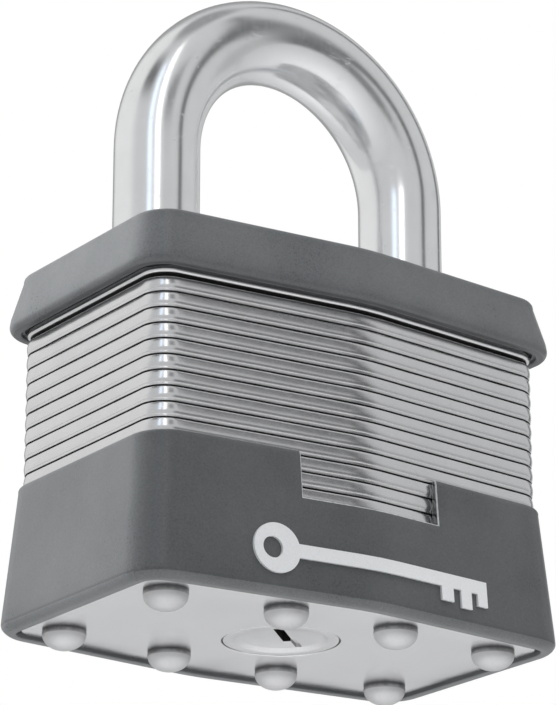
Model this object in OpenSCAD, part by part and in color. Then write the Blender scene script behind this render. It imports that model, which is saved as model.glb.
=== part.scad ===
// Laminated steel padlock with a top collar and a bottom jacket.
// Units are millimetres. +Z is up, the front face looks along -Y, and the
// origin is on the floor plane of the rivet domes, in the middle of the body.

/* [Steel stack] */
// Width of the steel plates, side to side
body_w = 51; // [50.6:0.1:51.4]
// Half depth of the plates at their side edges
side_y = 13.75; // [13.6:0.05:14]
// Extra half depth at the middle of the shallow V front and back
vee_rise = 2.4; // [2.2:0.1:2.6]
// Corner radius of the plates
corner_r = 3; // [2.6:0.1:3.4]
// Height from one plate to the next
plate_pitch = 1.713; // [1.7:0.001:1.72]

/* [Rivets] */
// Height of the domed rivet heads under the bottom plate
head_h = 2.1; // [1.9:0.1:2.3]
// Radius of the rivet heads
head_r = 2.365; // [2.2:0.05:2.5]
// Radius of the rivet shanks
shank_r = 1.75; // [1.6:0.05:1.8]

/* [Shackle] */
// Distance between the centre lines of the two legs
leg_spacing = 33.43; // [33.2:0.05:33.6]
// Radius of the shackle rod
rod_r = 4.765; // [4.72:0.005:4.8]
// Clear height under the bow, above the collar
bow_clear = 25.2; // [22.2:0.5:38.2]

/* [Covers] */
// Offset of the covers from the steel at their small ends
cover_thin = 0.72; // [0.6:0.05:0.8]
// Offset of the covers from the steel at their flared lower ends
cover_thick = 1.95; // [1.8:0.05:2.1]
// Half width of the window in the jacket's front and back
window_hw = 8.8; // [8:0.1:9.5]

/* [Lock] */
// Angle of the keyway at rest, from +X towards +Y
key_rest = 43; // [40:1:46]
// Radius of the plug
plug_r = 6.35; // [6.3:0.01:6.38]

/* [Hidden] */
$fn = 64;

z0 = head_h;                       // underside of the bottom plate
plate_t = plate_pitch - 0.013;     // thickness of one plate
n_plates = 23;
half_w = body_w / 2;
vslope = vee_rise / half_w;
vang = atan(vslope);
steel_top = z0 + n_plates * plate_pitch - 0.013;
collar_z0 = z0 + 33.45;            // underside of the collar
collar_z1 = steel_top + 0.5;       // top rim of the collar
jacket_z0 = z0 - 0.35;             // lowest rim of the jacket
jacket_z1 = z0 + 15.7;             // top edge of the jacket
leg_x = leg_spacing / 2;
in_r = rod_r - 0.165;              // rod radius inside the body
bore_r = rod_r + 0.045;            // leg bores in the plates
bow_z = collar_z1 + bow_clear - (leg_x - rod_r);
lift = 16;                         // shackle travel
toe_z = z0 + 15 * plate_pitch + 0.025;
key_turn = 47;                     // plug travel
lever_throw = 11;                  // lever travel
lev_px = -7.10;                    // pivot of the left lever
lev_py = -11.0;
cam_c = 2.55;                      // cam reach towards the levers at rest
run = 0.05;                        // running clearance
heel_pin_x = -leg_x + 2.55 + 0.8;

function pz(k) = z0 + k * plate_pitch;

steel_c = [0.78, 0.79, 0.80];
dark_c = [0.36, 0.37, 0.38];
brass_c = [0.80, 0.66, 0.34];

// ---- plan outline of the steel, offset outward by e ----
function q1_pts(e) = let(r = corner_r + e, cx = half_w - corner_r,
    cy = side_y + vslope * corner_r - corner_r / cos(vang))
  concat([for (i = [0:6]) let(a = i * (90 - vang) / 6) [cx + r * cos(a), cy + r * sin(a)]],
         [[2.5, side_y + vslope * (half_w - 2.5) + e / cos(vang)]]);
function flip_x(p) = [for (i = [len(p) - 1:-1:0]) [-p[i][0], p[i][1]]];
function mid_pt(e) = [[0, side_y + vee_rise - 0.12 + e / cos(vang)]];
function half_pts(e) = concat(q1_pts(e), mid_pt(e), flip_x(q1_pts(e)));
function neg_pts(p) = [for (v = p) [-v[0], -v[1]]];
module outline(e = 0) { polygon(concat(half_pts(e), neg_pts(half_pts(e)))); }
module slab(e, z, h) { translate([0, 0, z]) linear_extrude(height = h) outline(e); }

// ---- positions of the rivets ----
rivet_xy = [for (sx = [-1, 1]) for (sy = [-1, 1]) for (p = [[21.24, 9.78], [7.10, 11.0]]) [sx * p[0], sy * p[1]]];

module rivet_holes(z, h) {
  for (p = rivet_xy) translate([p[0], p[1], z - 1]) cylinder(r = shank_r + run, h = h + 2);
}
module leg_bore(s, z, h) { translate([s * leg_x, 0, z - 1]) cylinder(r = bore_r, h = h + 2); }

module shell_2d(g) {
  circle(r = 8 + g);
  translate([-3 - g, 0]) square([6 + 2 * g, 13.4 + g]);
}
module lever_cavity_2d() {
  translate([-13.5, -6.2]) square([27, 12.4]);
  for (s = [0, 180]) rotate(s) {
    polygon([[-13.5, -6.1], [-11.2, -11.2], [-7.1, -12], [-3.6, -11], [-1, -6.1]]);
    translate([lev_px, lev_py]) circle(r = 3.5);
  }
}

module raw_plate(k) {
  // captive rows are narrower, so each cover's ledge is trapped
  e = (k == 1 || k == 2 || k == 20 || k == 21) ? -1.2 : 0;
  step_h = (k == 19) ? 0.4 : 0.3;
  step_e = (k == 19) ? 1.2 : 0.25;
  slab(e, pz(k) + step_h, plate_t - step_h);
  slab(e - step_e, pz(k), step_h + 0.01);
}

module plate(k) {
  color(steel_c) difference() {
    raw_plate(k);
    if (k != 18 && k != 19) rivet_holes(pz(k), plate_t);
    if (k == 18 || k == 19)
      for (p = rivet_xy) if (abs(p[0]) > 10 || p[0] * p[1] < 0)
        translate([p[0], p[1], pz(k) - 1]) cylinder(r = shank_r + run, h = plate_t + 2);
    if (k >= 1) leg_bore(-1, pz(k), plate_t);
    if (k >= 15) leg_bore(1, pz(k), plate_t);
    if (k == 0) translate([0, 0, pz(0) - 1]) cylinder(r = plug_r + 0.055, h = plate_t + 2);
    if (k >= 1 && k <= 9) translate([0, 0, pz(k) - 1]) linear_extrude(height = plate_t + 2) shell_2d(run);
    if (k >= 10 && k <= 17) translate([0, 0, pz(k) - 1]) cylinder(r = 3.1, h = plate_t + 2);
    if (k == 16) translate([heel_pin_x - 0.85, -5.6, pz(k) - 1]) cube([1.7, 11.2, plate_t + 2]);
    if (k == 18 || k == 19) translate([0, 0, pz(k) - 1]) linear_extrude(height = plate_t + 2) lever_cavity_2d();
  }
}

// ---- rivets: dome below, low formed head above ----
module rivets() {
  dome_h = head_h - 0.45;
  rb = (head_r * head_r + dome_h * dome_h) / (2 * dome_h);
  top_h = 0.42;
  rt = (2.4 * 2.4 + top_h * top_h) / (2 * top_h);
  color(steel_c) for (p = rivet_xy) translate([p[0], p[1], 0]) {
    translate([0, 0, head_h - 0.45]) cylinder(r = head_r, h = 0.45);
    intersection() {
      translate([0, 0, rb]) sphere(r = rb);
      translate([0, 0, -1]) cylinder(r = head_r + 1, h = head_h - 0.45 + 1);
    }
    translate([0, 0, head_h - 0.1]) cylinder(r = shank_r, h = steel_top - head_h + 0.2);
    intersection() {
      translate([0, 0, steel_top + top_h - rt]) sphere(r = rt);
      translate([0, 0, steel_top + 0.005]) cylinder(r = 3, h = 2);
    }
  }
}

// ---- shackle ----
module leg_body(s, z_end) {
  translate([s * leg_x, 0, z_end + 0.6]) cylinder(r = in_r, h = collar_z1 + 0.3 - z_end - 0.6);
  translate([s * leg_x, 0, z_end]) cylinder(r1 = in_r - 0.6, r2 = in_r, h = 0.6);
  translate([s * leg_x, 0, collar_z1 + 0.3]) cylinder(r = rod_r, h = bow_z - collar_z1 - 0.3);
}
module shackle() {
  nz = pz(18) - 0.2;
  nh = 2 * plate_pitch + 0.4;
  color([0.86, 0.87, 0.88]) difference() {
    union() {
      leg_body(1, toe_z);
      leg_body(-1, z0 + 8.7);
      translate([0, 0, bow_z]) rotate([90, 0, 0]) rotate_extrude(angle = 180) translate([leg_x, 0]) circle(r = rod_r);
    }
    // lever notches on the inner side of each leg
    for (s = [0, 180]) rotate([0, 0, s]) translate([-leg_x + 2.4, -6, nz]) cube([4, 12, nh]);
    // turned-down neck of the heel leg
    translate([-leg_x, 0, z0 + 11.26]) difference() {
      cylinder(r = 6, h = 29.2 - 11.26);
      translate([0, 0, -1]) cylinder(r = 2.5, h = 22);
    }
  }
}

// ---- covers ----
module jacket_outer(g) {
  hull() {
    slab(cover_thin - 0.3 + g, jacket_z1 - 0.01, 0.01);
    slab(cover_thin + g, jacket_z1 - 0.3, 0.01);
    slab(cover_thick + g, z0 + 0.55, 0.01);
    slab(cover_thick - 0.25 + g, z0 + 0.05, 0.01);
    slab(cover_thick - 0.75 + g, jacket_z0, 0.01);
  }
}
module bottom_bumper() {
  color(dark_c) difference() {
    jacket_outer(0);
    slab(run, jacket_z0 - 1, pz(1) - jacket_z0 + 1 + 0.02);
    slab(-1.15, pz(1) - 0.5, 2 * plate_pitch + 1);
    slab(run, pz(3) - 0.03, 30);
    for (s = [-1, 1]) translate([-window_hw, s * 16 - 6, z0 + 10.55]) cube([2 * window_hw, 12, 10]);
  }
}
module top_bumper() {
  color(dark_c) difference() {
    hull() {
      slab(cover_thin - 0.5, collar_z1 - 0.01, 0.01);
      slab(cover_thin - 0.12, collar_z1 - 0.3, 0.01);
      slab(cover_thin, collar_z1 - 0.7, 0.01);
      slab(cover_thick, collar_z0 + 1.0, 0.01);
      slab(cover_thick - 0.3, collar_z0 + 0.3, 0.01);
      slab(cover_thick - 0.9, collar_z0, 0.01);
    }
    slab(run, collar_z0 - 1, pz(20) - collar_z0 + 1 + 0.02);
    slab(-1.15, pz(20) - 0.5, 2 * plate_pitch + 1);
    slab(run, pz(22) - 0.03, 10);
  }
}

// ---- raised plain key pictogram on the jacket's front ----
module key_2d() {
  difference() {
    union() {
      translate([-12.4, 0]) circle(r = 2.7);
      translate([-10.4, -0.75]) square([25.4, 1.5]);
      translate([8.4, -2.3]) square([1.7, 2]);
      translate([11.2, -2.7]) square([1.5, 2.4]);
      translate([13.6, -2.1]) square([1.4, 1.8]);
    }
    translate([-12.9, 0]) circle(r = 1.15);
  }
}
module front_badge() {
  color(steel_c) difference() {
    intersection() {
      jacket_outer(0.3);
      translate([0, -12, z0 + 4.4]) rotate([90, 0, 0]) linear_extrude(height = 10) key_2d();
    }
    jacket_outer(0);
  }
}

// ---- cylinder ----
pin_z = [for (i = [0:3]) z0 + 4.2 + i * 3.2];
module cylinder_shell() {
  color(brass_c) difference() {
    translate([0, 0, pz(1) + 0.02]) linear_extrude(height = 9 * plate_pitch - 0.06) shell_2d(0);
    translate([0, 0, z0]) cylinder(r = plug_r + 0.055, h = 30);
    translate([0, 0, z0 + 15.5]) cylinder(r = 7.3, h = 10);
    for (z = pin_z) translate([0, 5.9, z]) rotate([-90, 0, 0]) cylinder(r = 1.45, h = 8);
    translate([-2.05, 12.7, z0 + 2.15]) cube([4.1, 3, 13.1]);
  }
}
module spring_cover() {
  color(brass_c) translate([-2, 12.75, z0 + 2.2]) cube([4, 0.6, 13]);
}
module driver_pins() {
  color(brass_c) for (z = pin_z) translate([0, 6.5, z]) rotate([-90, 0, 0]) cylinder(r = 1.40, h = 2.4);
}

// ---- coil spring: a round wire swept along a helix ----
function coil_z(i, n, r_w, len) = r_w + (len - 2 * r_w) * i / n;
module coil(r, r_w, len, turns, per, sides) {
  n = turns * per;
  pts = [for (i = [0:n]) let(a = i * 360 / per, z = coil_z(i, n, r_w, len))
         for (j = [0:sides - 1]) let(b = j * 360 / sides)
         [(r + r_w * cos(b)) * cos(a), (r + r_w * cos(b)) * sin(a), z + r_w * sin(b)]];
  polyhedron(points = pts, convexity = 8, faces = concat(
    [[for (j = [0:sides - 1]) j]],
    [[for (j = [sides - 1:-1:0]) n * sides + j]],
    [for (i = [0:n - 1]) for (j = [0:sides - 1]) [i * sides + j, (i + 1) * sides + j, (i + 1) * sides + (j + 1) % sides]],
    [for (i = [0:n - 1]) for (j = [0:sides - 1]) [i * sides + j, (i + 1) * sides + (j + 1) % sides, i * sides + (j + 1) % sides]]));
}
module pin_springs() {
  color(steel_c) for (z = pin_z) translate([0, 8.94, z]) rotate([-90, 0, 0]) coil(1.05, 0.18, 3.78, 5, 14, 6);
}
module shackle_spring() {
  color(steel_c) translate([-leg_x, 0, pz(0) + plate_t + 0.02]) coil(3.55, 0.5, 8.7 - plate_t - 0.05, 5, 20, 8);
}

// keyway profile in the plug's own axes
module keyway_2d() {
  polygon([[-4.4, 0.1], [1.7, 0.1], [1.7, -0.72], [4.5, -0.72], [4.5, -1.45], [1.0, -1.45], [1.0, -0.95], [-4.4, -0.95]]);
}
module plug() {
  color(brass_c) rotate([0, 0, key_rest]) difference() {
    union() {
      translate([0, 0, z0 + 0.03]) cylinder(r = plug_r, h = 16.9);
      translate([0, 0, z0 + 15.58]) cylinder(r = 7.2, h = 1.35);
    }
    // shallow dish in the face
    translate([0, 0, z0 - 0.02]) cylinder(r1 = 5.2, r2 = 4.2, h = 0.45);
    translate([0, 0, z0 - 1]) linear_extrude(height = 16) keyway_2d();
    for (z = pin_z) translate([2.2, 0, z]) rotate([0, 90, 0]) cylinder(r = 1.45, h = 8);
    translate([-2, -2, z0 + 15.45]) cube([4, 4, 4]);
  }
}
module key_pins() {
  color(brass_c) rotate([0, 0, key_rest]) for (z = pin_z) translate([2.9, 0, z]) rotate([0, 90, 0]) cylinder(r = 1.40, h = 3.25);
}

// ---- cam: its lobes keep the levers at the stated ratio all the way ----
ratio = lever_throw / key_turn;
function cam_h(t) = cam_c + (-lev_py) * sin(t) - (-lev_px) * (1 - cos(t));
function cam_dh(t) = ((-lev_py) * cos(t) - (-lev_px) * sin(t)) / (1 - 1 / ratio);
function cam_pt(t) = let(psi = 180 + t - t / ratio, h = cam_h(t), d = cam_dh(t))
  [h * cos(psi) - d * sin(psi), h * sin(psi) + d * cos(psi)];
function cam_lobe() = concat([for (i = [8:-1:0]) cam_pt(lever_throw * i / 8)]);
module cam_2d() {
  circle(r = 2.45);
  polygon(concat([[1.6, 4.7]], cam_lobe(), [[-1.6, -4.7]], [for (p = cam_lobe()) [-p[0], -p[1]]]));
}
module cam() {
  color(steel_c) {
    rotate([0, 0, key_rest]) translate([-1.95, -1.95, z0 + 15.5]) cube([3.9, 3.9, 2]);
    translate([0, 0, z0 + 17.0]) cylinder(r = 3.0, h = pz(18) - z0 - 17.0);
    translate([0, 0, pz(18) - 1]) cylinder(r = 2.3, h = 2.6);
    translate([0, 0, pz(18) + 0.1]) linear_extrude(height = 2 * plate_pitch - 0.213) cam_2d();
  }
}

// ---- locking levers ----
module lever_body() {
  lh = 2 * plate_pitch - 0.213;
  translate([0, 0, pz(18) + 0.1]) difference() {
    union() {
      translate([lev_px, lev_py, 0]) cylinder(r = 3.2, h = lh);
      linear_extrude(height = lh) polygon([[-9.6, -12.2], [-10.2, -10.4], [-11.3, -3.0], [-11.65, -1.6], [-11.65, 2.6],
        [-10.6, 4.2], [-2.65, 4.2], [-2.65, -0.2], [-5.5, -3.2], [-4.2, -9.6], [-4.9, -12.2]]);
    }
    translate([lev_px, lev_py, -1]) cylinder(r = shank_r + run, h = lh + 2);
  }
}
module lever_left() { color(steel_c) lever_body(); }
module lever_right() { color(steel_c) rotate([0, 0, 180]) lever_body(); }
module retainer_pin() {
  color(steel_c) translate([heel_pin_x, -5.5, pz(16) + plate_t / 2]) rotate([-90, 0, 0]) cylinder(r = 0.8, h = 11);
}

shackle();
top_bumper();
bottom_bumper();
front_badge();
rivets();
plate(0);  // bottom_plate
plate(1);  // cylinder_plate_1
plate(2);  // cylinder_plate_2
plate(3);  // cylinder_plate_3
plate(4);  // cylinder_plate_4
plate(5);  // cylinder_plate_5
plate(6);  // cylinder_plate_6
plate(7);  // cylinder_plate_7
plate(8);  // cylinder_plate_8
plate(9);  // cylinder_plate_9
plate(10);  // spacer_plate_1
plate(11);  // spacer_plate_2
plate(12);  // spacer_plate_3
plate(13);  // spacer_plate_4
plate(14);  // spacer_plate_5
plate(15);  // spacer_plate_6
plate(16);  // retainer_plate
plate(17);  // spacer_plate_7
plate(18);  // lever_plate_1
plate(19);  // lever_plate_2
plate(20);  // upper_plate_1
plate(21);  // upper_plate_2
plate(22);  // top_plate
cylinder_shell();
spring_cover();
driver_pins();
pin_springs();
plug();
key_pins();
cam();
lever_left();
lever_right();
retainer_pin();
shackle_spring();
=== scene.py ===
import math

import bmesh
import bpy
from mathutils import Matrix, Vector, noise


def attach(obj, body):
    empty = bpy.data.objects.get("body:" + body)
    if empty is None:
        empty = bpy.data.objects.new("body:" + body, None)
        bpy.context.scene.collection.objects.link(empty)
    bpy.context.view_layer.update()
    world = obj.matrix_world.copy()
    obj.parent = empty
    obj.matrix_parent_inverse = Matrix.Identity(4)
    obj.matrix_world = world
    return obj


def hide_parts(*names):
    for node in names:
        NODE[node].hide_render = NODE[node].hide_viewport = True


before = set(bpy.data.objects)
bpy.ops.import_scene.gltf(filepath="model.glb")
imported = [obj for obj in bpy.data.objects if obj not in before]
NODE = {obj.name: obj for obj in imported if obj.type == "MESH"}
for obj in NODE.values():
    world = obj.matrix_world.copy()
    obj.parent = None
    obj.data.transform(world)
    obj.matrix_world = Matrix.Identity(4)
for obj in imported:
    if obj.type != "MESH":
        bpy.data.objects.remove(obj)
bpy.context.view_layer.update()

# ------------------------------------------------------------------ sizes, in millimetres, repeated from the part's source
Z0 = 2.1
PITCH = 1.713
PT = 1.70
HW = 25.5
SIDE_Y = 13.75
RISE = 2.4
CR = 3.0
SL = RISE / HW
VA = math.atan(SL)
STEEL_TOP = Z0 + 23 * PITCH - 0.013
CZ0 = Z0 + 33.45
CZ1 = STEEL_TOP + 0.5
JZ0 = Z0 - 0.35
JZ1 = Z0 + 15.7
WIN_Z = Z0 + 10.55
WIN_X = 8.8
LEG = 16.715
ROD = 4.765
BOW_Z = CZ1 + 25.2 - (LEG - ROD)
TOE_Z = Z0 + 15 * PITCH + 0.025
HEEL_Z = Z0 + 8.7
KEY = math.radians(43)
RIVETS = [(sx * x, sy * y) for sx in (-1, 1) for sy in (-1, 1) for x, y in ((21.24, 9.78), (7.10, 11.0))]


def pz(k):
    return Z0 + k * PITCH


# ------------------------------------------------------------------ mesh helpers
def finish_mesh(name, bm, mats, body, nodes, angle=32, flat_mats=()):
    bmesh.ops.recalc_face_normals(bm, faces=bm.faces)
    me = bpy.data.meshes.new(name)
    bm.to_mesh(me)
    bm.free()
    me.transform(Matrix.Scale(0.001, 4))
    me.polygons.foreach_set("use_smooth", [True] * len(me.polygons))
    me.set_sharp_from_angle(angle=math.radians(angle))
    for m in mats:
        me.materials.append(m)
    ob = bpy.data.objects.new(name, me)
    bpy.context.scene.collection.objects.link(ob)
    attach(ob, body)
    if nodes:
        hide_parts(*nodes)
    return ob


def lathe(bm, prof, n, cx=0.0, cy=0.0, mat=0):
    """A closed solid of revolution about the vertical line at cx, cy. prof is (r, z) from one axis point to the other."""
    rings = []
    for r, z in prof:
        if r < 1e-6:
            rings.append([bm.verts.new((cx, cy, z))])
        else:
            rings.append([bm.verts.new((cx + r * math.cos(2 * math.pi * i / n), cy + r * math.sin(2 * math.pi * i / n), z)) for i in range(n)])
    for a, b in zip(rings, rings[1:]):
        for i in range(n):
            j = (i + 1) % n
            q = [a[i % len(a)], a[j % len(a)], b[j % len(b)], b[i % len(b)]]
            u = []
            for v in q:
                if v not in u:
                    u.append(v)
            if len(u) > 2:
                f = bm.faces.new(u)
                f.material_index = mat
    return rings


def top_y(x, e):
    """Half depth of the steel outline at x, offset by e, with the point of the vee eased."""
    w = 2.5
    x = abs(x)
    base = SIDE_Y + RISE + e / math.cos(VA)
    return base - SL * (w / 2 + x * x / (2 * w)) if x < w else base - SL * x


def outline(e, rc, na=12, nside=4, xs=(8.8, 6.5, 4.5, 2.5, 1.9, 1.3, 0.65), nmid=4):
    """The outline in plan, counter-clockwise from (+x, 0), offset by e, with corner radius rc. Every call with the same counts gives matching points."""
    cx = HW + e - rc
    cy = SIDE_Y + SL * (HW - cx) + e / math.cos(VA) - rc / math.cos(VA)
    q = [(HW + e, cy * i / nside) for i in range(nside)]
    end = math.pi / 2 - VA
    q += [(cx + rc * math.cos(end * i / na), cy + rc * math.sin(end * i / na)) for i in range(na + 1)]
    xe = cx + rc * math.cos(end)
    for i in range(1, nmid):
        x = xe + (xs[0] - xe) * i / nmid
        q.append((x, top_y(x, e)))
    q += [(x, top_y(x, e)) for x in xs]
    mid = (0.0, top_y(0, e))
    loop = q + [mid] + [(-x, y) for x, y in reversed(q)]
    loop += [(-x, -y) for x, y in q[1:]] + [(0.0, -mid[1])] + [(x, -y) for x, y in reversed(q[1:])]
    return loop


def loft(bm, rings, closed=False, mat=0):
    """Quads between rings of vertices that match one to one."""
    n = len(rings[0])
    faces = []
    pairs = list(zip(rings, rings[1:])) + ([(rings[-1], rings[0])] if closed else [])
    for a, b in pairs:
        row = []
        for i in range(n):
            j = (i + 1) % n
            f = bm.faces.new((a[i], a[j], b[j], b[i]))
            f.material_index = mat
            row.append(f)
        faces.append(row)
    return faces


def cap_loops(node, z_mm, tol=0.02):
    """Boundary loops, in millimetres, of a CAD node's flat faces at height z."""
    me = NODE[node].data
    bm = bmesh.new()
    bm.from_mesh(me)
    bmesh.ops.remove_doubles(bm, verts=bm.verts, dist=1e-6)
    z = z_mm / 1000
    inside = set()
    for f in bm.faces:
        if abs(f.normal.z) > 0.99 and all(abs(v.co.z - z) < tol / 1000 for v in f.verts):
            inside.add(f)
    edges = [e for e in bm.edges if sum(f in inside for f in e.link_faces) == 1]
    nxt = {}
    for e in edges:
        a, b = e.verts
        nxt.setdefault(a, []).append(b)
        nxt.setdefault(b, []).append(a)
    seen, loops = set(), []
    for v in nxt:
        if v in seen:
            continue
        loop, prev, cur = [], None, v
        while cur not in seen:
            seen.add(cur)
            loop.append((cur.co.x * 1000, cur.co.y * 1000))
            step = [w for w in nxt[cur] if w is not prev]
            step = [w for w in step if w not in seen] or step
            prev, cur = cur, step[0]
        loops.append(loop)
    bm.free()
    return loops


# ------------------------------------------------------------------ node-material helpers
def new_mat(name):
    m = bpy.data.materials.new(name)
    m.use_nodes = True
    nt = m.node_tree
    nt.nodes.clear()
    out = nt.nodes.new("ShaderNodeOutputMaterial")
    b = nt.nodes.new("ShaderNodeBsdfPrincipled")
    nt.links.new(b.outputs[0], out.inputs[0])
    return m, nt, b


def coords(nt, sx=1.0, sy=1.0, sz=1.0):
    """Object coordinates in millimetres, stretched by sx, sy, sz."""
    tc = nt.nodes.new("ShaderNodeTexCoord")
    mp = nt.nodes.new("ShaderNodeMapping")
    mp.inputs["Scale"].default_value = (1000 * sx, 1000 * sy, 1000 * sz)
    nt.links.new(tc.outputs["Object"], mp.inputs["Vector"])
    return mp.outputs[0]


def noise_tex(nt, vec, scale, detail=3.0, rough=0.55, dist=0.0):
    t = nt.nodes.new("ShaderNodeTexNoise")
    t.inputs["Scale"].default_value = scale
    t.inputs["Detail"].default_value = detail
    t.inputs["Roughness"].default_value = rough
    t.inputs["Distortion"].default_value = dist
    nt.links.new(vec, t.inputs["Vector"])
    return t.outputs["Fac"]


def voronoi(nt, vec, scale, feature="F1"):
    t = nt.nodes.new("ShaderNodeTexVoronoi")
    t.feature = feature
    t.inputs["Scale"].default_value = scale
    nt.links.new(vec, t.inputs["Vector"])
    return t.outputs["Distance"]


def ramp(nt, fac, stops, mode="LINEAR"):
    r = nt.nodes.new("ShaderNodeValToRGB")
    r.color_ramp.interpolation = mode
    els = r.color_ramp.elements
    while len(els) < len(stops):
        els.new(0.5)
    for el, (p, c) in zip(els, stops):
        el.position = p
        el.color = (*c, 1) if len(c) == 3 else c
    nt.links.new(fac, r.inputs[0])
    return r.outputs[0]


def mrange(nt, v, a, b, c, d, smooth=False):
    r = nt.nodes.new("ShaderNodeMapRange")
    if smooth:
        r.interpolation_type = "SMOOTHSTEP"
    for i, x in zip((1, 2, 3, 4), (a, b, c, d)):
        r.inputs[i].default_value = x
    nt.links.new(v, r.inputs[0])
    return r.outputs[0]


def mth(nt, op, a, b=None, clamp=False):
    m = nt.nodes.new("ShaderNodeMath")
    m.operation = op
    m.use_clamp = clamp
    for i, x in enumerate((a, b)):
        if x is None:
            continue
        if isinstance(x, (int, float)):
            m.inputs[i].default_value = x
        else:
            nt.links.new(x, m.inputs[i])
    return m.outputs[0]


def mixc(nt, fac, a, b):
    m = nt.nodes.new("ShaderNodeMix")
    m.data_type = "RGBA"
    if isinstance(fac, (int, float)):
        m.inputs[0].default_value = fac
    else:
        nt.links.new(fac, m.inputs[0])
    for i, x in ((6, a), (7, b)):
        if isinstance(x, tuple):
            m.inputs[i].default_value = (*x, 1)
        else:
            nt.links.new(x, m.inputs[i])
    return m.outputs[2]


def bump(nt, b, height, dist_mm, strength=1.0, prev=None):
    n = nt.nodes.new("ShaderNodeBump")
    n.inputs["Strength"].default_value = strength
    n.inputs["Distance"].default_value = dist_mm / 1000
    nt.links.new(height, n.inputs["Height"])
    if prev is not None:
        nt.links.new(prev, n.inputs["Normal"])
    nt.links.new(n.outputs[0], b.inputs["Normal"])
    return n.outputs[0]


def steel_mat(name, lo, hi, r_lo, r_hi, grain=(1, 1, 1), grain_scale=2.0, grain_mm=0.004, tint=(1, 1, 1.01), spots=0.0, fine=18.0, fine_mm=0.0015):
    m, nt, b = new_mat(name)
    b.inputs["Metallic"].default_value = 1.0
    v = coords(nt)
    g = coords(nt, *grain)
    cloud = noise_tex(nt, v, 0.22, 4, 0.6)
    gr = noise_tex(nt, g, grain_scale, 4, 0.62)
    mix = mth(nt, "ADD", mth(nt, "MULTIPLY", cloud, 0.55), mth(nt, "MULTIPLY", gr, 0.45))
    col = ramp(nt, mix, [(0.32, tuple(lo * t for t in tint)), (0.68, tuple(min(1, hi * t) for t in tint))])
    if spots:
        sp = voronoi(nt, v, 0.9)
        mask = mth(nt, "MULTIPLY", mrange(nt, sp, 0.03, 0.10, 1, 0, True), mrange(nt, noise_tex(nt, v, 0.5, 2), 0.52, 0.6, 0, spots, True))
        col = mixc(nt, mask, col, (lo * 0.45, lo * 0.45, lo * 0.46))
    nt.links.new(col, b.inputs["Base Color"])
    nt.links.new(mrange(nt, mth(nt, "ADD", mth(nt, "MULTIPLY", gr, 0.6), mth(nt, "MULTIPLY", noise_tex(nt, v, 1.1, 3), 0.4)), 0.3, 0.7, r_lo, r_hi), b.inputs["Roughness"])
    n1 = bump(nt, b, gr, grain_mm, 0.6)
    bump(nt, b, noise_tex(nt, v, fine, 2), fine_mm, 0.5, n1)
    return m, nt, b


# polished rod: long faint draw lines, pits and handling scratches
def shackle_mat():
    m, nt, b = new_mat("polished_rod")
    b.inputs["Metallic"].default_value = 1.0
    v = coords(nt)
    lines = noise_tex(nt, coords(nt, 1, 1, 0.06), 3.2, 4, 0.6)
    cloud = noise_tex(nt, v, 0.13, 4, 0.6)
    col = ramp(nt, cloud, [(0.3, (0.86, 0.865, 0.87)), (0.7, (0.93, 0.935, 0.94))])
    pit = voronoi(nt, v, 0.75)
    gate = mrange(nt, noise_tex(nt, v, 0.31, 3, 0.6), 0.53, 0.6, 0, 1, True)
    pits = mth(nt, "MULTIPLY", mrange(nt, pit, 0.035, 0.085, 1, 0, True), gate)
    fine_pit = mth(nt, "MULTIPLY", mrange(nt, voronoi(nt, v, 2.2), 0.06, 0.12, 1, 0, True), mrange(nt, noise_tex(nt, v, 0.6, 2), 0.56, 0.62, 0, 1, True))
    scr_v = coords(nt, 0.22, 0.6, 2.4)
    line = noise_tex(nt, scr_v, 1.5, 0, 0.4, 0.1)
    scr = mth(nt, "MULTIPLY", mrange(nt, line, 0.497, 0.503, 0, 1), mrange(nt, line, 0.503, 0.509, 1, 0))
    scr = mth(nt, "MULTIPLY", scr, mrange(nt, noise_tex(nt, v, 0.45, 2), 0.58, 0.63, 0, 1, True))
    dark = mth(nt, "MULTIPLY", mth(nt, "MAXIMUM", pits, fine_pit), 0.4)
    nt.links.new(mixc(nt, dark, col, (0.42, 0.43, 0.44)), b.inputs["Base Color"])
    r = mth(nt, "ADD", mrange(nt, lines, 0.3, 0.7, 0.17, 0.21), mth(nt, "MULTIPLY", mth(nt, "MAXIMUM", scr, fine_pit), 0.16))
    nt.links.new(r, b.inputs["Roughness"])
    n1 = bump(nt, b, lines, 0.0018, 0.5)
    h = mth(nt, "MULTIPLY", mth(nt, "MAXIMUM", mth(nt, "MAXIMUM", pits, fine_pit), scr), -1.0)
    n2 = bump(nt, b, h, 0.02, 0.6, n1)
    bump(nt, b, noise_tex(nt, v, 0.33, 2, 0.4), 0.02, 0.35, n2)
    return m


def cover_mat(name="cover_plastic", k=1.0, rough=(0.27, 0.34), spec=0.4):
    m, nt, b = new_mat(name)
    v = coords(nt)
    b.inputs["Specular IOR Level"].default_value = spec
    grain = noise_tex(nt, v, 4.6, 3, 0.7)
    cloud = noise_tex(nt, v, 0.09, 4, 0.6)
    mix = mth(nt, "ADD", mth(nt, "MULTIPLY", cloud, 0.45), mth(nt, "MULTIPLY", grain, 0.55))
    col = ramp(nt, mix, [(0.36, (0.088 * k, 0.093 * k, 0.097 * k)), (0.64, (0.136 * k, 0.141 * k, 0.145 * k))])
    speck = mth(nt, "MULTIPLY", mrange(nt, voronoi(nt, v, 2.6), 0.05, 0.13, 1, 0, True), mrange(nt, noise_tex(nt, v, 0.7, 2), 0.55, 0.62, 0, 0.35, True))
    nt.links.new(mixc(nt, speck, col, (0.20 * k, 0.205 * k, 0.21 * k)), b.inputs["Base Color"])
    nt.links.new(mrange(nt, mix, 0.35, 0.65, *rough), b.inputs["Roughness"])
    n1 = bump(nt, b, grain, 0.016, 0.6)
    bump(nt, b, noise_tex(nt, v, 14, 2), 0.004, 0.4, n1)
    return m


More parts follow.
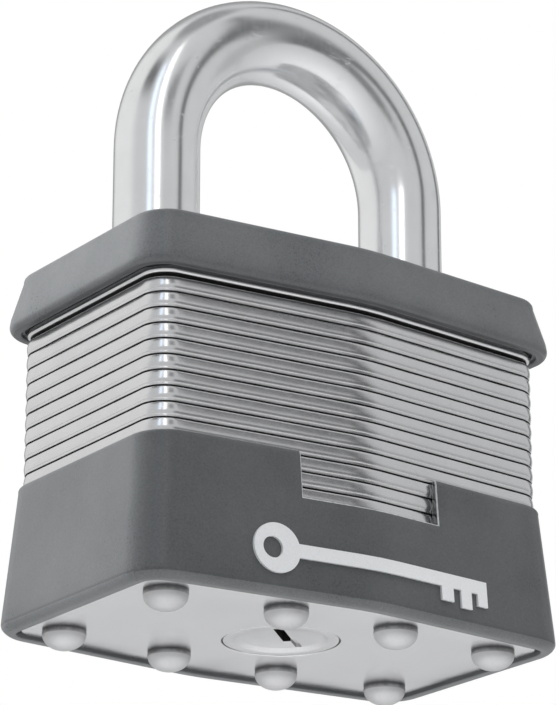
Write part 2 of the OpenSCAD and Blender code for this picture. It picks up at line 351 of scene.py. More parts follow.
def badge_mat():
    m, nt, b = new_mat("badge_silver")
    v = coords(nt)
    b.inputs["Metallic"].default_value = 0.1
    g = noise_tex(nt, v, 7, 3)
    nt.links.new(ramp(nt, g, [(0.3, (0.78, 0.79, 0.80)), (0.7, (0.86, 0.87, 0.88))]), b.inputs["Base Color"])
    nt.links.new(mrange(nt, g, 0.3, 0.7, 0.30, 0.42), b.inputs["Roughness"])
    bump(nt, b, g, 0.006, 0.5)
    return m


def brass_mat():
    m, nt, b = new_mat("machined_brass")
    b.inputs["Metallic"].default_value = 1.0
    v = coords(nt)
    t = nt.nodes.new("ShaderNodeTexWave")
    t.wave_type = "RINGS"
    t.rings_direction = "Z"
    t.inputs["Scale"].default_value = 1.6
    t.inputs["Distortion"].default_value = 0.6
    nt.links.new(v, t.inputs["Vector"])
    cloud = noise_tex(nt, v, 0.5, 4)
    nt.links.new(ramp(nt, cloud, [(0.3, (0.60, 0.44, 0.19)), (0.7, (0.78, 0.60, 0.30))]), b.inputs["Base Color"])
    nt.links.new(mrange(nt, cloud, 0.3, 0.7, 0.26, 0.42), b.inputs["Roughness"])
    bump(nt, b, t.outputs["Fac"], 0.006, 0.5)
    return m


def wire_mat():
    m, nt, b = new_mat("drawn_wire")
    b.inputs["Metallic"].default_value = 1.0
    v = coords(nt)
    g = noise_tex(nt, coords(nt, 0.6, 0.6, 3), 3, 4)
    nt.links.new(ramp(nt, g, [(0.3, (0.42, 0.43, 0.45)), (0.7, (0.62, 0.63, 0.65))]), b.inputs["Base Color"])
    nt.links.new(mrange(nt, noise_tex(nt, v, 2, 3), 0.3, 0.7, 0.24, 0.4), b.inputs["Roughness"])
    bump(nt, b, g, 0.006, 0.5)
    return m


PLATE, _, _ = steel_mat("plated_steel", 0.72, 0.80, 0.17, 0.23, grain=(1, 1, 4), grain_scale=1.3, grain_mm=0.0025, spots=0.25)
SATIN, _, _ = steel_mat("satin_steel", 0.80, 0.86, 0.19, 0.24, grain_scale=3.0, grain_mm=0.0014, spots=0.12, fine_mm=0.0008)
def rivet_mat():
    """Satin dome over a rim band whose colour is darkened next to the plate as painted shade."""
    m, nt, b = steel_mat("rivet_steel", 0.60, 0.68, 0.38, 0.48, grain_scale=4.0, grain_mm=0.003)
    tc = nt.nodes.new("ShaderNodeTexCoord")
    sp = nt.nodes.new("ShaderNodeSeparateXYZ")
    nt.links.new(tc.outputs["Object"], sp.inputs[0])
    z = mth(nt, "MULTIPLY", sp.outputs[2], 1000.0)
    wob = mth(nt, "ADD", z, mrange(nt, noise_tex(nt, coords(nt), 1.3, 3), 0.3, 0.7, -0.10, 0.10))
    # painted shade: the rim band next to the plate is mixed toward dark grey in place of the contact shadow
    band = mth(nt, "MULTIPLY", mrange(nt, z, 1.575, 1.605, 0, 1, True), mrange(nt, wob, 1.6, 2.05, 0.42, 0.95, True))
    band = mth(nt, "MULTIPLY", band, mrange(nt, z, 3.0, 3.2, 1, 0))
    old = b.inputs["Base Color"].links[0].from_socket
    nt.links.new(mixc(nt, band, old, (0.12, 0.122, 0.124)), b.inputs["Base Color"])
    return m


RIVET = rivet_mat()
PLUGM, _, _ = steel_mat("plug_plating", 0.69, 0.77, 0.32, 0.42, grain_scale=3.5, grain_mm=0.003, spots=0.3)
INNER, _, _ = steel_mat("inner_steel", 0.42, 0.58, 0.3, 0.5, grain=(1, 1, 3), grain_scale=2.0, grain_mm=0.008, spots=0.6)
# painted shade: near-black, non-metallic colour for the slots between the plates
SLOT_SHADE, _, _sb = steel_mat("slot_painted_shade", 0.02, 0.05, 0.6, 0.8, grain_scale=4.0, grain_mm=0.006)
_sb.inputs["Metallic"].default_value = 0.0
_sb.inputs["Specular IOR Level"].default_value = 0.1
ROD_M = shackle_mat()
COVER = cover_mat(k=0.90, spec=0.33)
# painted light: the collar uses the cover plastic made lighter, in place of the light its upward-tilted faces catch
COLLAR_LIT = cover_mat("collar_plastic_painted_light", 1.2)
# painted light: a lighter copy of the cover plastic for the jacket's bottom rim, in place of light from below
RIM_LIT = cover_mat("cover_rim_painted_light", 1.4)
# painted shade: a darker copy of the cover plastic for the collar's underside
UNDER_SHADE = cover_mat("cover_underside_painted_shade", 0.75)
BADGE = badge_mat()


def wall_mat():
    """The cut wall of the window: smooth and glossy, its colour darkened to near black as painted shade."""
    m, nt, b = new_mat("window_wall_painted_shade")
    v = coords(nt)
    g = noise_tex(nt, v, 3.0, 3)
    # painted shade: near-black colour for the window's cut wall
    nt.links.new(ramp(nt, g, [(0.3, (0.020, 0.021, 0.022)), (0.7, (0.045, 0.047, 0.049))]), b.inputs["Base Color"])
    nt.links.new(mrange(nt, g, 0.3, 0.7, 0.10, 0.18), b.inputs["Roughness"])
    b.inputs["Specular IOR Level"].default_value = 0.9
    bump(nt, b, noise_tex(nt, coords(nt, 1, 1, 1), 2.2, 2), 0.05, 0.8)
    return m


def edge_highlight_mat():
    """Edges of the window, shiny and coloured light grey as a painted highlight."""
    m, nt, b = new_mat("window_edge_painted_highlight")
    v = coords(nt)
    g = noise_tex(nt, v, 1.6, 4, 0.6)
    nt.links.new(ramp(nt, g, [(0.3, (0.36, 0.365, 0.37)), (0.7, (0.60, 0.605, 0.61))]), b.inputs["Base Color"])
    nt.links.new(mrange(nt, g, 0.3, 0.7, 0.22, 0.38), b.inputs["Roughness"])
    bump(nt, b, g, 0.01, 0.5)
    return m


def keyway_shade_mat():
    """Inside of the keyway: coloured near black as painted shade."""
    m, nt, b = new_mat("keyway_painted_shade")
    v = coords(nt)
    g = noise_tex(nt, v, 3.0, 3)
    nt.links.new(ramp(nt, g, [(0.3, (0.004, 0.004, 0.004)), (0.7, (0.014, 0.014, 0.013))]), b.inputs["Base Color"])
    nt.links.new(mrange(nt, g, 0.3, 0.7, 0.55, 0.75), b.inputs["Roughness"])
    b.inputs["Specular IOR Level"].default_value = 0.1
    bump(nt, b, g, 0.01, 0.5)
    return m


WALL_SHADE = wall_mat()
EDGE_HIGHLIGHT = edge_highlight_mat()
KEYWAY_SHADE = keyway_shade_mat()
BRASS = brass_mat()
WIRE = wire_mat()

# ------------------------------------------------------------------ laminated plates
PLATE_NODES = (["bottom_plate"] + ["cylinder_plate_%d" % i for i in range(1, 10)] + ["spacer_plate_%d" % i for i in range(1, 7)]
               + ["retainer_plate", "spacer_plate_7", "lever_plate_1", "lever_plate_2", "upper_plate_1", "upper_plate_2", "top_plate"])

# (height in the plate, offset of the edge): gap, lip, rolled lower band, flat land, rounded upper edge
EDGE = [(0.0, -0.62), (0.070, -0.60), (0.075, -0.10), (0.10, -0.045), (0.17, -0.030), (0.28, -0.030), (0.31, -0.055),
        (0.35, -0.030), (0.42, -0.010), (0.52, 0.014), (0.64, 0.034), (0.76, 0.042), (0.86, 0.040), (0.97, 0.028), (1.10, 0.010), (1.24, -0.012), (1.37, -0.034),
        (1.48, -0.060), (1.57, -0.092), (1.63, -0.125), (1.67, -0.165), (1.69, -0.22), (1.69, -0.62)]


def plate(k, name):
    captive = -1.2 if k in (1, 2, 20, 21) else 0.0
    bm = bmesh.new()
    prof = [list(p) for p in EDGE]
    if k == 0:
        prof = [(0.0, -0.34), (0.02, -0.22), (0.07, -0.13), (0.15, -0.06), (0.28, -0.02)] + EDGE[8:]
        prof = [[z, min(e, -0.02)] for z, e in prof]
    if k == 19:
        # the step under the collar: a bright lip over a deep black line
        prof = [[0.0, -1.22], [0.38, -1.22], [0.385, -0.30], [0.42, -0.12], [0.50, -0.02], [0.60, 0.02]] + [list(p) for p in EDGE[10:]]
    xs = (8.8, 7.9, 7.0, 6.1, 5.2, 4.3, 3.4, 2.5, 2.0, 1.5, 1.0, 0.5)
    rings = []
    for z, e in prof:
        pts = outline(e + captive, CR + e + captive, na=16, nside=14, xs=xs, nmid=17)
        ring = []
        for x, y in pts:
            s = noise.noise(Vector((x * 0.23, y * 0.23, k * 3.1)))
            f = noise.noise(Vector((x * 1.9, y * 1.9, k * 1.7 + z * 2)))
            lip = 1.0 if 0.08 < z < 0.36 and k not in (0, 19) else 0.0
            d = 0.012 * s + 0.006 * f + lip * 0.012 * f
            corner = max(0.0, min(1.0, (abs(x) + abs(y) * 0.9 - 33.9) / 1.5))
            d += corner * (0.016 * noise.noise(Vector((math.atan2(y, x) * 26, k * 5.3, z * 1.2))))
            r = math.hypot(x, y)
            ux, uy = x / r, y / r
            dz = 0.010 * s + lip * 0.012 * noise.noise(Vector((x * 2.3, y * 2.3, 40 + k)))
            if z in (prof[0][0], prof[-1][0]):
                dz = 0.0
            ring.append(bm.verts.new((x + ux * d, y + uy * d, pz(k) + z + dz)))
        rings.append(ring)
    rows = loft(bm, rings)
    # the narrow slot between plates is coloured near black, a painted shade
    slot_rows = [r for r, ((z1, e1), (z2, e2)) in enumerate(zip(prof, prof[1:])) if max(e1, e2) < -0.30 and k > 0] + [r for r, ((z1, e1), (z2, e2)) in enumerate(zip(prof, prof[1:])) if min(e1, e2) < -0.55 and k > 0 and z1 < 0.5]
    for r in set(slot_rows):
        for f in rows[r]:
            f.material_index = 1
    z_lo, z_hi = pz(k) + prof[0][0], pz(k) + prof[-1][0]
    loops = cap_loops(name, pz(k) + PT)
    loops.sort(key=lambda l: -max(abs(x) for x, y in l) - max(abs(y) for x, y in l))
    holes = loops[1:]
    lo_edges = [bm.edges.get((rings[0][i], rings[0][(i + 1) % len(rings[0])])) for i in range(len(rings[0]))]
    hi_edges = [bm.edges.get((rings[-1][i], rings[-1][(i + 1) % len(rings[-1])])) for i in range(len(rings[-1]))]
    for loop in holes:
        # a small chamfer where the hole meets each face
        cxm = sum(x for x, y in loop) / len(loop)
        cym = sum(y for x, y in loop) / len(loop)
        lev = []
        for z, grow in ((z_lo, 0.06), (z_lo + 0.06, 0.0), (z_hi - 0.06, 0.0), (z_hi, 0.06)):
            g = grow if len(loop) > 15 and max(abs(x - cxm) for x, y in loop) < 9.5 else 0.0
            ring = []
            for x, y in loop:
                d = math.hypot(x - cxm, y - cym) or 1
                ring.append(bm.verts.new((x + (x - cxm) / d * g, y + (y - cym) / d * g, z)))
            lev.append(ring)
        hole_rows = loft(bm, lev)
        n = len(loop)
        lo_edges += [bm.edges.get((lev[0][i], lev[0][(i + 1) % n])) for i in range(n)]
        hi_edges += [bm.edges.get((lev[-1][i], lev[-1][(i + 1) % n])) for i in range(n)]
    bmesh.ops.triangle_fill(bm, use_beauty=True, use_dissolve=False, edges=lo_edges)
    bmesh.ops.triangle_fill(bm, use_beauty=True, use_dissolve=False, edges=hi_edges)
    return finish_mesh("plate_%02d" % k, bm, [SATIN if k == 0 else PLATE, SLOT_SHADE], "housing", [name], angle=30)


for k, name in enumerate(PLATE_NODES):
    plate(k, name)

# ------------------------------------------------------------------ rivets
bm = bmesh.new()
for cx, cy in RIVETS:
    prof = [(0.0, 0.0)]
    R = 2.365
    for i in range(1, 13):
        a = i / 12 * 1.47
        prof.append((2.33 * math.sin(a), 1.60 - 1.60 * math.cos(a)))
    prof += [(2.352, 1.575), (R, 1.62), (R, 1.90), (2.355, 2.00), (2.33, 2.06), (2.28, 2.11), (1.75, 2.12), (1.75, STEEL_TOP + 0.001), (2.30, STEEL_TOP + 0.001), (2.385, STEEL_TOP + 0.04),
             (2.40, STEEL_TOP + 0.10), (2.32, STEEL_TOP + 0.20), (2.05, STEEL_TOP + 0.31), (1.5, STEEL_TOP + 0.39), (0.8, STEEL_TOP + 0.415), (0.0, STEEL_TOP + 0.42)]
    lathe(bm, prof, 48, cx, cy)
finish_mesh("rivets_headed", bm, [RIVET], "housing", ["rivets"], angle=40)


# ------------------------------------------------------------------ shackle
def shackle():
    bm = bmesh.new()
    n = 64
    rings = []

    def ring(c, nx, r, clip=None, squash=1.0):
        """A circle at c whose plane holds world Y and the in-plane direction nx."""
        out = []
        for i in range(n):
            a = 2 * math.pi * i / n
            p = Vector(c) + Vector(nx) * (r * math.cos(a)) + Vector((0, 1, 0)) * (r * math.sin(a) * squash)
            if clip is not None:
                side, lim = clip
                if side * p.x < lim:
                    p.x = side * lim
            out.append(bm.verts.new(p))
        return out

    nz, nh = pz(18) - 0.2, 2 * PITCH + 0.4
    flat = LEG - 2.4
    # toe leg, upward
    toe = [(TOE_Z, ROD - 1.0), (TOE_Z + 0.12, ROD - 0.62), (TOE_Z + 0.40, ROD - 0.25), (TOE_Z + 0.85, ROD - 0.07)]
    for z, r in toe:
        rings.append(ring((LEG, 0, z), (1, 0, 0), r - 0.03))
    seq = [TOE_Z + 1.6, nz - 0.25]
    for z in seq:
        rings.append(ring((LEG, 0, z), (1, 0, 0), ROD - 0.03))
    for z, lim in ((nz - 0.12, flat - 2.3), (nz, flat - 2.24), (nz, flat), (nz + nh, flat), (nz + nh, flat - 2.24), (nz + nh + 0.12, flat - 2.3)):
        rings.append(ring((LEG, 0, z), (1, 0, 0), ROD - 0.03, (1, lim)))
    z = nz + nh + 1
    while z < BOW_Z - 0.5:
        rings.append(ring((LEG, 0, z), (1, 0, 0), ROD - (0.03 if z < CZ1 else 0.0)))
        z += 2.0
    m = 72
    for i in range(m + 1):
        a = math.pi * i / m
        nx = (math.cos(a), 0, math.sin(a))
        rings.append(ring((LEG * math.cos(a), 0, BOW_Z + LEG * math.sin(a)), nx, ROD - 0.0004))
    down = []
    z = BOW_Z - 2.0
    while z > nz + nh + 1:
        down.append(z)
        z -= 2.0
    for z in down:
        rings.append(ring((-LEG, 0, z), (-1, 0, 0), ROD - (0.03 if z < CZ1 else 0.0)))
    for z, lim in ((nz + nh + 0.12, flat - 2.3), (nz + nh, flat - 2.24), (nz + nh, flat), (nz, flat), (nz, flat - 2.24), (nz - 0.12, flat - 2.3)):
        rings.append(ring((-LEG, 0, z), (-1, 0, 0), ROD - 0.03, (-1, lim)))
    nt, nb = Z0 + 29.2, Z0 + 11.26
    for z, r in ((nt + 0.45, ROD - 0.03), (nt + 0.12, ROD - 0.12), (nt + 0.01, ROD - 0.42), (nt, 2.9), (nt - 0.12, 2.62), (nt - 0.4, 2.5), (nb + 0.4, 2.5), (nb + 0.12, 2.62), (nb, 2.9),
                 (nb - 0.01, ROD - 0.42), (nb - 0.12, ROD - 0.12), (nb - 0.45, ROD - 0.03), (HEEL_Z + 0.7, ROD - 0.03), (HEEL_Z + 0.3, ROD - 0.15), (HEEL_Z + 0.05, ROD - 0.45), (HEEL_Z, ROD - 0.8)):
        rings.append(ring((-LEG, 0, z), (-1, 0, 0), r))
    loft(bm, rings)
    for rr in (rings[0], rings[-1]):
        c = bm.verts.new(sum((v.co for v in rr), Vector()) / n)
        for i in range(n):
            bm.faces.new((rr[i], rr[(i + 1) % n], c))
    bmesh.ops.remove_doubles(bm, verts=bm.verts, dist=1e-5)
    return finish_mesh("shackle_bar", bm, [ROD_M], "shackle", ["shackle"], angle=38)


shackle()


# ------------------------------------------------------------------ covers
def cover(name, node, prof, window, alt=None):
    """prof is a closed list of (offset, corner radius, z) round the wall, outside first from the bottom up, then inside down."""
    bm = bmesh.new()
    kw = dict(na=16, nside=6, xs=(8.8, 6.6, 4.4, 2.5, 1.9, 1.3, 0.65), nmid=5)
    rings = []
    for e, rc, z in prof:
        rings.append([bm.verts.new((x, y, z)) for x, y in outline(e, rc, **kw)])
    n, m = len(rings[0]), len(rings)
    rows = loft(bm, rings, closed=True)
    # rows chosen by alt take slot 3: a lighter copy of the plastic on the jacket rim (painted light), a darker copy on
    # the collar underside (painted shade)
    for r in range(m):
        if alt and alt(prof[r], prof[(r + 1) % m]):
            for f in rows[r]:
                f.material_index = 3
    if window:
        ref = outline(0, CR, **kw)
        cut_edges = set()
        vi = [i for i, (e, rc, z) in enumerate(prof) if abs(z - WIN_Z) < 1e-6]
        v_out, v_in = vi
        for sy in (-1, 1):
            cols = [i for i in range(n) if sy * ref[i][1] > 10 and sy * ref[(i + 1) % n][1] > 10
                    and abs(ref[i][0]) <= 8.8 + 1e-6 and abs(ref[(i + 1) % n][0]) <= 8.8 + 1e-6]
            i0, i1 = cols[0], (cols[-1] + 1) % n
            kill = [rows[r][i] for r in range(v_out, v_in) for i in cols]
            for i in cols:
                a, b = rings[v_out][i], rings[v_out][(i + 1) % n]
                c, d = rings[v_in][(i + 1) % n], rings[v_in][i]
                cut_edges.add((a, b))
                cut_edges.add((c, d))
            for i in (i0, i1):
                for r in range(v_out, v_in):
                    cut_edges.add((rings[r][i], rings[r + 1][i]))
            bmesh.ops.delete(bm, geom=kill, context="FACES_ONLY")
            for i in cols:
                bm.faces.new((rings[v_out][i], rings[v_in][i], rings[v_in][(i + 1) % n], rings[v_out][(i + 1) % n])).material_index = 1
            for i in (i0, i1):
                bm.faces.new([rings[r][i] for r in range(v_out, v_in + 1)]).material_index = 1
        bmesh.ops.delete(bm, geom=[e for e in bm.edges if not e.link_faces], context="EDGES")
        bmesh.ops.delete(bm, geom=[v for v in bm.verts if not v.link_faces], context="VERTS")
        bmesh.ops.recalc_face_normals(bm, faces=bm.faces)
        edges = []
        for a, b in cut_edges:
            if a.is_valid and b.is_valid:
                e = bm.edges.get((a, b))
                if e is not None:
                    edges.append(e)
        # the bevelled window edges take slot 2, the light edge colour that is a painted highlight
        bmesh.ops.bevel(bm, geom=edges, offset=0.15, offset_type="OFFSET", segments=3, profile=0.5, affect="EDGES", clamp_overlap=True, material=2)
    return finish_mesh(name, bm, [COVER if window else COLLAR_LIT, WALL_SHADE, EDGE_HIGHLIGHT, RIM_LIT if window else UNDER_SHADE], "housing", [node], angle=60)


def lerp_e(z):
    return 1.95 + (0.72 - 1.95) * (z - (Z0 + 0.55)) / (JZ1 - 0.3 - Z0 - 0.55)


JR = 4.6
IN_R = 2.15
jacket = [(0.14, IN_R, JZ0 + 0.03), (0.22, IN_R + 0.1, JZ0 + 0.005), (0.55, 2.9, JZ0), (0.92, 3.7, JZ0), (1.08, 3.9, JZ0 + 0.015), (1.24, 4.05, JZ0 + 0.07), (1.40, 4.2, JZ0 + 0.16), (1.55, 4.3, JZ0 + 0.28), (1.69, 4.4, JZ0 + 0.42), (1.80, 4.5, JZ0 + 0.57), (1.875, 4.55, JZ0 + 0.73), (1.915, 4.58, JZ0 + 0.89), (1.925, JR, JZ0 + 1.05)]
jacket += [(lerp_e(z), JR - 0.02 * (z - 3), z) for z in (4.2, 6.5, 9.0, 11.0, WIN_Z, 14.5, 16.2, 17.2)]
jacket += [(0.70, 4.1, 17.45), (0.63, 4.05, 17.62), (0.53, 4.0, 17.74), (0.40, 3.9, 17.795), (0.25, 3.5, 17.80), (0.12, 3.2, 17.77), (0.05, 3.1, 17.70)]
jacket += [(0.05, 3.1, z) for z in (16.5, WIN_Z, 10.0)]
jacket += [(0.05, 3.05, pz(3) - 0.03), (-1.15, 1.9, pz(3) - 0.03), (-1.15, 1.9, pz(1) + 0.02), (0.05, IN_R, pz(1) + 0.02), (0.05, IN_R, JZ0 + 0.18), (0.08, IN_R, JZ0 + 0.08)]
# the jacket's bottom rim rows take the lighter copy, a painted light
cover("jacket_cover", "bottom_bumper", jacket, True, lambda a, b: max(a[2], b[2]) < JZ0 + 0.80 and max(a[0], b[0]) > 0.1)

collar = [(0.05, 2.2, CZ0 + 0.34), (0.40, 2.6, CZ0 + 0.34), (0.46, 2.8, CZ0 + 0.30), (0.52, 2.9, CZ0 + 0.06), (0.58, 3.0, CZ0 + 0.01), (0.9, 3.6, CZ0), (1.30, 4.1, CZ0), (1.46, 4.3, CZ0 + 0.02), (1.62, 4.45, CZ0 + 0.08), (1.76, 4.6, CZ0 + 0.20), (1.86, 4.7, CZ0 + 0.36), (1.91, 4.7, CZ0 + 0.54), (1.925, 4.7, CZ0 + 0.76)]
collar += [(1.92 + (0.74 - 1.92) * (z - CZ0 - 1.15) / (CZ1 - 0.7 - CZ0 - 1.15), 4.7 - 0.1 * (z - CZ0 - 1.15), z) for z in (CZ0 + 1.5, CZ0 + 2.6, CZ0 + 3.7, CZ0 + 4.8, CZ1 - 0.75)]
collar += [(0.71, 4.1, CZ1 - 0.5), (0.64, 4.0, CZ1 - 0.28), (0.52, 3.9, CZ1 - 0.12), (0.38, 3.7, CZ1 - 0.03), (0.26, 3.5, CZ1), (0.14, 3.3, CZ1 - 0.03), (0.06, 3.1, CZ1 - 0.12), (0.05, 3.05, CZ1 - 0.3)]
collar += [(0.05, 3.05, pz(22) - 0.03), (-1.15, 1.9, pz(22) - 0.03), (-1.15, 1.9, pz(20) + 0.02), (0.05, 2.2, pz(20) + 0.02)]
# the collar's underside rows take the darker copy, a painted shade
cover("collar_cover", "top_bumper", collar, False, lambda a, b: max(a[2], b[2]) < CZ0 + 0.36 and max(a[0], b[0]) < 1.5)

# ------------------------------------------------------------------ keyed plug
KEYWAY_OPEN = [(-4.4, 0.1), (1.7, 0.1), (1.7, -0.95), (-4.4, -0.95)]
KEYWAY_WARD = [(0.9, -0.72), (4.3, -0.72), (4.3, -1.45), (0.9, -1.45)]


def plug():
    bm = bmesh.new()
    lathe(bm, [(0.0, Z0 + 0.44), (4.42, Z0 + 0.44), (4.55, Z0 + 0.41), (4.98, Z0 + 0.055), (5.06, Z0 + 0.031), (6.12, Z0 + 0.03), (6.22, Z0 + 0.05), (6.28, Z0 + 0.12), (6.28, pz(1) - 0.2), (6.34, pz(1) - 0.1), (6.34, Z0 + 15.59),
               (7.15, Z0 + 15.59), (7.20, Z0 + 15.64), (7.20, Z0 + 16.87), (7.15, Z0 + 16.92), (0.0, Z0 + 16.92)], 128)
    body = bpy.data.meshes.new("plug_body")
    bmesh.ops.recalc_face_normals(bm, faces=bm.faces)
    bm.to_mesh(body)
    bm.free()
    c, s = math.cos(KEY), math.sin(KEY)
    a = bpy.data.objects.new("plug_tmp", body)
    bpy.context.scene.collection.objects.link(a)
    tools = []
    # the open slot goes deep; the warded half is a shallow step beside it
    for poly, top in ((KEYWAY_OPEN, Z0 + 15.0), (KEYWAY_WARD, Z0 + 0.44 + 0.38)):
        bm = bmesh.new()
        lo = [bm.verts.new((c * u - s * v, s * u + c * v, 1.0)) for u, v in poly]
        hi = [bm.verts.new((v.co.x, v.co.y, top)) for v in lo]
        n = len(lo)
        for i in range(n):
            bm.faces.new((lo[i], lo[(i + 1) % n], hi[(i + 1) % n], hi[i]))
        bm.faces.new(lo)
        bm.faces.new(hi)
        bmesh.ops.recalc_face_normals(bm, faces=bm.faces)
        corner = [e for e in bm.edges if abs(e.verts[0].co.z - e.verts[1].co.z) > 1]
        bmesh.ops.bevel(bm, geom=corner, offset=0.12, segments=3, profile=0.5, affect="EDGES")
        cut = bpy.data.meshes.new("keyway_cut")
        bm.to_mesh(cut)
        bm.free()
        b = bpy.data.objects.new("cut_tmp", cut)
        bpy.context.scene.collection.objects.link(b)
        tools.append(b)
        mod = a.modifiers.new("cut", "BOOLEAN")
        mod.operation = "DIFFERENCE"
        mod.solver = "EXACT"
        mod.object = b
    # the cam's square socket, and the four pin chambers
    sq = [(-2, -2), (2, -2), (2, 2), (-2, 2)]
    pairs = [([(u, v, Z0 + 15.45) for u, v in sq], [(u, v, Z0 + 19.0) for u, v in sq])]
    for i in range(4):
        ring = [(1.45 * math.cos(t * math.pi / 16), Z0 + 4.2 + 3.2 * i + 1.45 * math.sin(t * math.pi / 16)) for t in range(32)]
        pairs.append(([(2.2, v, z) for v, z in ring], [(9.0, v, z) for v, z in ring]))
    for one, two in pairs:
        bm = bmesh.new()
        lo = [bm.verts.new((c * u - s * v, s * u + c * v, z)) for u, v, z in one]
        hi = [bm.verts.new((c * u - s * v, s * u + c * v, z)) for u, v, z in two]
        n = len(lo)
        for i in range(n):
            bm.faces.new((lo[i], lo[(i + 1) % n], hi[(i + 1) % n], hi[i]))
        bm.faces.new(lo)
        bm.faces.new(hi)
        bmesh.ops.recalc_face_normals(bm, faces=bm.faces)
        cut = bpy.data.meshes.new("chamber_cut")
        bm.to_mesh(cut)
        bm.free()
        b = bpy.data.objects.new("chamber_tmp", cut)
        bpy.context.scene.collection.objects.link(b)
        tools.append(b)
        mod = a.modifiers.new("cut", "BOOLEAN")
        mod.operation = "DIFFERENCE"
        mod.solver = "EXACT"
        mod.object = b
    dg = bpy.context.evaluated_depsgraph_get()
    me = bpy.data.meshes.new_from_object(a.evaluated_get(dg))
    bpy.data.objects.remove(a)
    for b in tools:
        bpy.data.objects.remove(b)
    bm = bmesh.new()
    bm.from_mesh(me)
    bmesh.ops.remove_doubles(bm, verts=bm.verts, dist=1e-4)
    rim = []
    for e in bm.edges:
        if len(e.link_faces) == 2:
            z1, z2 = e.verts[0].co.z, e.verts[1].co.z
            fa, fb = (abs(f.normal.z) for f in e.link_faces)
            r = max(math.hypot(v.co.x, v.co.y) for v in e.verts)
            if z1 < 3 and z2 < 3 and min(fa, fb) < 0.02 and max(fa, fb) > 0.5 and r < 5.2:
                rim.append(e)
    bmesh.ops.bevel(bm, geom=rim, offset=0.07, segments=2, profile=0.5, affect="EDGES", clamp_overlap=True)
    c, s = math.cos(-KEY), math.sin(-KEY)
    for f in bm.faces:
        p = f.calc_center_median()
        u, w = c * p.x - s * p.y, s * p.x + c * p.y
        # painted shade: the keyway walls and the flange underside take the near-black slot 1, and the walls of the ward
        # step take the darker inner steel in slot 2
        if abs(f.normal.z) < 0.02 and -4.6 < u < 1.75 and -1.0 < w < 0.15 and p.z > Z0 + 0.5 and math.hypot(p.x, p.y) < 5.0:
            f.material_index = 1
        if abs(f.normal.z) < 0.02 and 0.85 < u < 4.4 and -1.5 < w < -0.68 and p.z < Z0 + 0.86:
            f.material_index = 2
        if f.normal.z < -0.9 and 17 < p.z < 18.5 and math.hypot(p.x, p.y) < 5.5:
            f.material_index = 1
    return finish_mesh("plug_keyed", bm, [PLUGM, KEYWAY_SHADE, INNER], "plug", ["plug"], angle=30)


plug()

# ------------------------------------------------------------------ carried-over inner parts
CARRY = {"cylinder_shell": BRASS, "spring_cover": BRASS, "driver_pins": BRASS, "key_pins": BRASS, "pin_springs": WIRE, "shackle_spring": WIRE,
         "cam": INNER, "lever_left": INNER, "lever_right": INNER, "retainer_pin": INNER, "front_badge": BADGE}
for name, m in CARRY.items():
    ob = NODE[name]
    ob.data.materials.clear()
    ob.data.materials.append(m)
bev = NODE["front_badge"].modifiers.new("edge", "BEVEL")
bev.width = 0.00008
bev.segments = 2
bev.limit_method = "ANGLE"
bev.angle_limit = math.radians(40)

# ------------------------------------------------------------------ camera
cam = bpy.data.cameras.new("camera")
cam.sensor_fit = "HORIZONTAL"
cam.sensor_width = 36.0 * 556 / 705
cam.lens = 3341.3 / 705 * 36.0
cam.clip_start = 0.01
cam.clip_end = 50
cam.shift_x = (278 - 273.83) / 556
cam.shift_y = (350.82 - 352.5) / 556
co = bpy.data.objects.new("camera", cam)
bpy.context.scene.collection.objects.link(co)
right, down, fwd = Vector((0.817246, -0.576288, 0.001042)), Vector((0.194008, 0.273423, -0.942126)), Vector((0.542651, 0.770151, 0.335258))
rot = Matrix((right, -down, -fwd)).transposed()
co.matrix_world = Matrix.Translation(Vector((-201.213, -284.186, -88.707)) * 0.001) @ rot.to_4x4()
bpy.context.scene.camera = co

# ------------------------------------------------------------------ studio: floor, sky, lamps
me = bpy.data.meshes.new("floor")
S = 9.0
FZ = -1.25
me.from_pydata([(-S, -S, FZ), (S, -S, FZ), (S, S, FZ), (-S, S, FZ)], [], [(0, 1, 2, 3)])
floor = bpy.data.objects.new("floor", me)
bpy.context.scene.collection.objects.link(floor)
fm, fnt, fb = new_mat("floor_pale")
fb.inputs["Roughness"].default_value = 0.8
nz_ = fnt.nodes.new("ShaderNodeTexNoise")
nz_.inputs["Scale"].default_value = 3
fnt.links.new(ramp(fnt, nz_.outputs["Fac"], [(0.3, (0.84, 0.84, 0.84)), (0.7, (0.87, 0.87, 0.87))]), fb.inputs["Base Color"])
me.materials.append(fm)

world = bpy.data.worlds.new("studio")
bpy.context.scene.world = world
world.use_nodes = True
wn = world.node_tree
wn.nodes.clear()
wout = wn.nodes.new("ShaderNodeOutputWorld")
tc = wn.nodes.new("ShaderNodeTexCoord")
sep = wn.nodes.new("ShaderNodeSeparateXYZ")
wn.links.new(tc.outputs["Generated"], sep.inputs[0])
az = mth(wn, "MULTIPLY", mth(wn, "ARCTAN2", sep.outputs[0], mth(wn, "MULTIPLY", sep.outputs[1], -1.0)), 180 / math.pi)
el = mth(wn, "MULTIPLY", mth(wn, "ARCSINE", sep.outputs[2]), 180 / math.pi)


def patch(a0, a1, sa, e0, e1, se):
    """A soft-edged window in azimuth (0 is the front, positive to the right) and elevation, in degrees."""
    f = mth(wn, "MULTIPLY", mrange(wn, az, a0 - sa, a0 + sa, 0, 1, True), mrange(wn, az, a1 - sa, a1 + sa, 1, 0, True))
    g = mth(wn, "MULTIPLY", mrange(wn, el, e0 - se, e0 + se, 0, 1, True), mrange(wn, el, e1 - se, e1 + se, 1, 0, True))
    return mth(wn, "MULTIPLY", f, g)


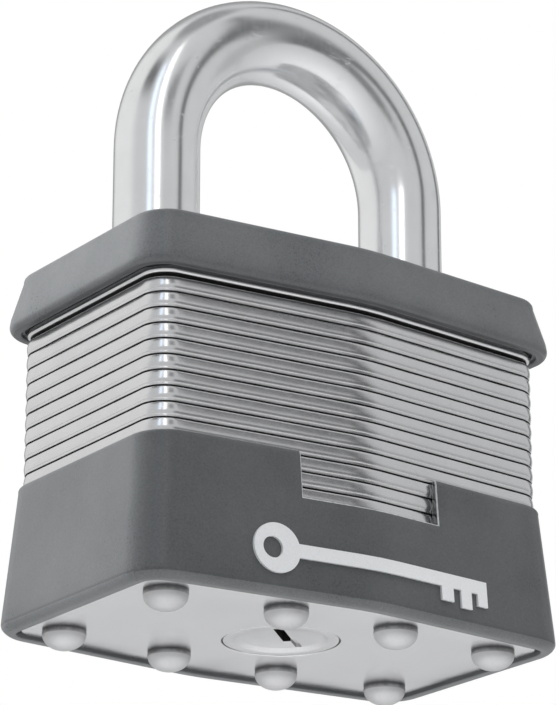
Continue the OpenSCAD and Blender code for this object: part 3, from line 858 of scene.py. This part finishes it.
BASE = (0.60, 0.605, 0.61)
col = BASE
PATCHES = [
    # azimuth from, to, softness, elevation from, to, softness, colour
    (-181, -100, 14, -60, 90, 14, (0.80, 0.80, 0.80)),
    (-181, 181, 1, 76, 91, 4, (0.30, 0.303, 0.306)),
    (128, 176, 6, -8, 60, 8, (0.34, 0.343, 0.346)),
    (-17, 5, 5, 28, 42, 5, (0.24, 0.242, 0.245)),
    (27, 39, 4, 27, 47, 5, (0.09, 0.092, 0.095)),
    (2, 40, 6, -14, 7, 4, (0.20, 0.203, 0.206)),
    (40, 75, 6, -14, 7, 4, (0.46, 0.464, 0.468)),
    (-104, -66, 7, 46, 64, 6, (0.12, 0.122, 0.126)),
    (26.5, 37, 1.5, -20, 66, 6, (0.11, 0.112, 0.115)),
    (94, 107, 2.0, -30, 70, 8, (0.12, 0.12, 0.125)),
    (-57, -46, 1.5, 15, 58, 3, (1.15, 1.3, 1.5)),
    (-37, -25, 1.5, 15, 66, 3, (1.9, 1.9, 1.9)),
]
for a0, a1, sa, e0, e1, se, c in PATCHES:
    col = mixc(wn, patch(a0, a1, sa, e0, e1, se), col, c)
bg = wn.nodes.new("ShaderNodeBackground")
wn.links.new(col, bg.inputs[0])
bg.inputs[1].default_value = 1.0
white = wn.nodes.new("ShaderNodeBackground")
white.inputs[0].default_value = (1, 1, 1, 1)
white.inputs[1].default_value = 1.0
lp = wn.nodes.new("ShaderNodeLightPath")
ms = wn.nodes.new("ShaderNodeMixShader")
wn.links.new(lp.outputs["Is Camera Ray"], ms.inputs[0])
wn.links.new(bg.outputs[0], ms.inputs[1])
wn.links.new(white.outputs[0], ms.inputs[2])
wn.links.new(ms.outputs[0], wout.inputs[0])


def area(name, loc, target, size, power, color=(1, 1, 1), size_y=None):
    l = bpy.data.lights.new(name, "AREA")
    l.energy = power
    l.size = size
    if size_y:
        l.shape = "RECTANGLE"
        l.size_y = size_y
    l.color = color
    o = bpy.data.objects.new(name, l)
    o.location = loc
    o.rotation_euler = (Vector(target) - Vector(loc)).to_track_quat("-Z", "Y").to_euler()
    bpy.context.scene.collection.objects.link(o)
    o.visible_glossy = False
    o.visible_camera = False
    return o


area("key_left", (-0.58, 0.69, 0.50), (0, 0, 0.03), 0.6, 18.2)
area("top", (0.35, -0.20, 1.2), (0.0, 0, 0), 1.6, 15.0)
area("floor_wash", (0.0, 0.0, -0.50), (0.0, 0.0, FZ), 14.0, 75.0)

bpy.context.scene.view_settings.view_transform = "Standard"
bpy.context.scene.view_settings.look = "None"
bpy.context.scene.view_settings.exposure = 0.0
bpy.context.scene.view_settings.gamma = 1.0

bpy.context.view_layer.update()
